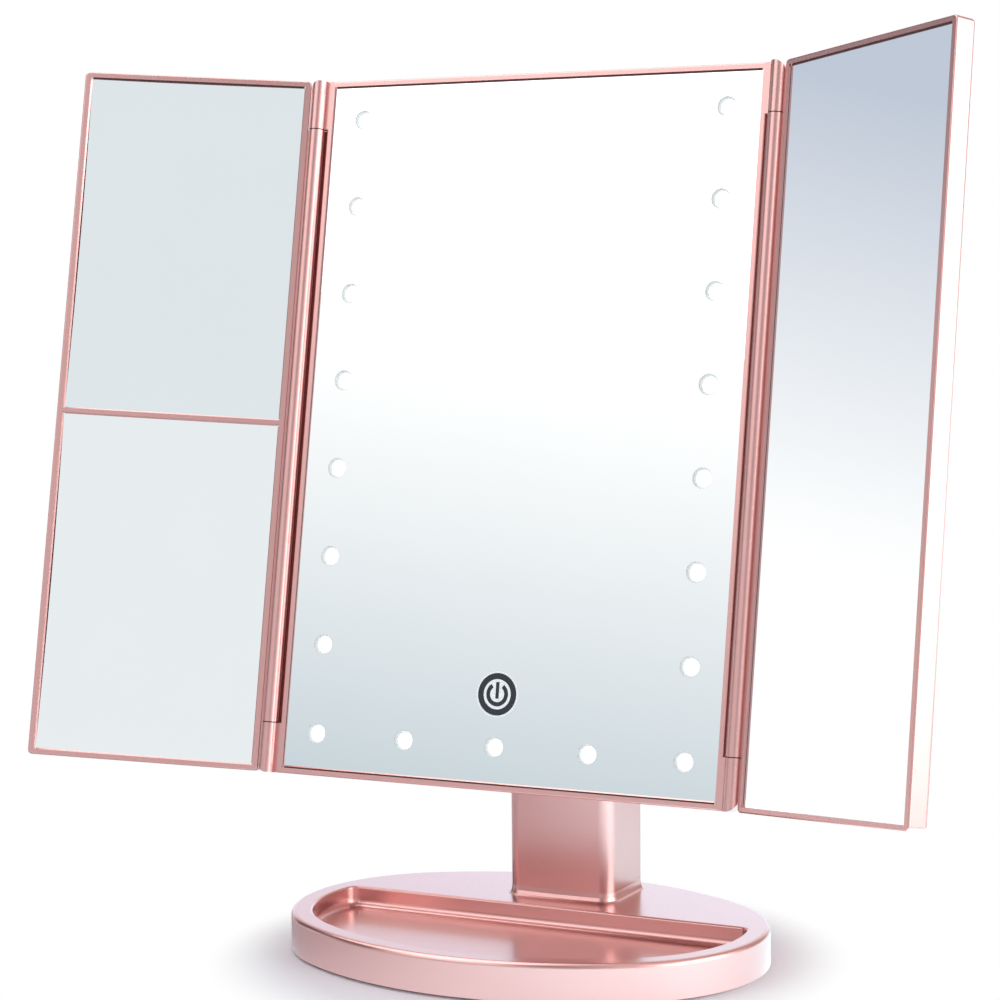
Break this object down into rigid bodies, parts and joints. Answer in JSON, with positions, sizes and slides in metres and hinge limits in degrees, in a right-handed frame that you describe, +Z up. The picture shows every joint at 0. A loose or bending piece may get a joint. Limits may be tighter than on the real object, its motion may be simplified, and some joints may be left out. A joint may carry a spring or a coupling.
{
  "type": "lighted vanity mirror",
  "caption": "Tri-fold tabletop makeup mirror with recessed lights, folding side wings, a tilting head on a post, and an oval base with a cosmetics tray.",
  "frame": {"origin": "middle of the base's oval on the underside of the anti-slip pad", "axes": "+Z up, the mirror faces -Y, +X to the right of a person who looks into it"},
  "size_m": [0.3115, 0.1261, 0.2896],
  "materials": {
    "rose_gold_shell": "rose-gold metallic lacquer on moulded plastic, satin gloss",
    "mirror_glass": "silvered glass",
    "lit_diffuser": "milky acrylic, lit from behind",
    "light_chip": "phosphor over a white package",
    "circuit_board": "solder mask",
    "dark_plastic": "moulded, fine texture",
    "pad_rubber": "matt foam rubber",
    "steel": "zinc-plated steel",
    "contact_metal": "nickel-plated strip",
    "cell_jacket": "printed film sleeve, left plain"
  },
  "bodies": {
    "stand": {"base_shell": "rose_gold_shell", "base_bottom_cover": "dark_plastic", "antislip_pad": "pad_rubber", "base_screws": "steel", "post_shell": "rose_gold_shell", "post_back_cover": "rose_gold_shell", "post_screws": "steel", "post_cover_screw": "steel", "battery_cells": "cell_jacket", "battery_contacts": "contact_metal", "inlet_board": "circuit_board", "usb_socket": "contact_metal"},
    "battery_door": {"battery_door": "rose_gold_shell"},
    "head": {"center_frame": "rose_gold_shell", "center_back_cover": "rose_gold_shell", "center_mirror": "mirror_glass", "light_guide": "lit_diffuser", "led_board": "circuit_board", "led_chips": "light_chip", "touch_sensor": "dark_plastic", "control_board": "circuit_board", "head_screws": "steel", "hinge_yoke": "rose_gold_shell", "yoke_screws": "steel", "tilt_shaft": "steel", "friction_washers": "dark_plastic", "shaft_end_caps": "rose_gold_shell", "left_hinge_pins": "steel", "right_hinge_pins": "steel"},
    "left_wing": {"left_wing_frame": "rose_gold_shell", "left_wing_back": "rose_gold_shell", "left_upper_mirror": "mirror_glass", "left_lower_mirror": "mirror_glass"},
    "right_wing": {"right_wing_frame": "rose_gold_shell", "right_wing_back": "rose_gold_shell", "right_mirror": "mirror_glass"}
  },
  "joints": [
    {"name": "head_tilt", "type": "hinge", "parent": "stand", "child": "head", "pos_m": [0, 0.03665, 0.1622], "axis": [-1, 0, 0], "range_deg": [-15.5, 79.5]},
    {"name": "left_wing_fold", "type": "hinge", "parent": "head", "child": "left_wing", "pos_m": [-0.081, -0.00578, 0.17006], "axis": [0, 0.1822, 0.9833], "range_deg": [-19.4, 160.6]},
    {"name": "right_wing_fold", "type": "hinge", "parent": "head", "child": "right_wing", "pos_m": [0.081, -0.00578, 0.17006], "axis": [0, -0.1822, -0.9833], "range_deg": [-31.3, 148.7]},
    {"name": "battery_door_lift", "type": "slide", "parent": "stand", "child": "battery_door", "axis": [0, 1, 0], "range_m": [0, 0.03]}
  ]
}
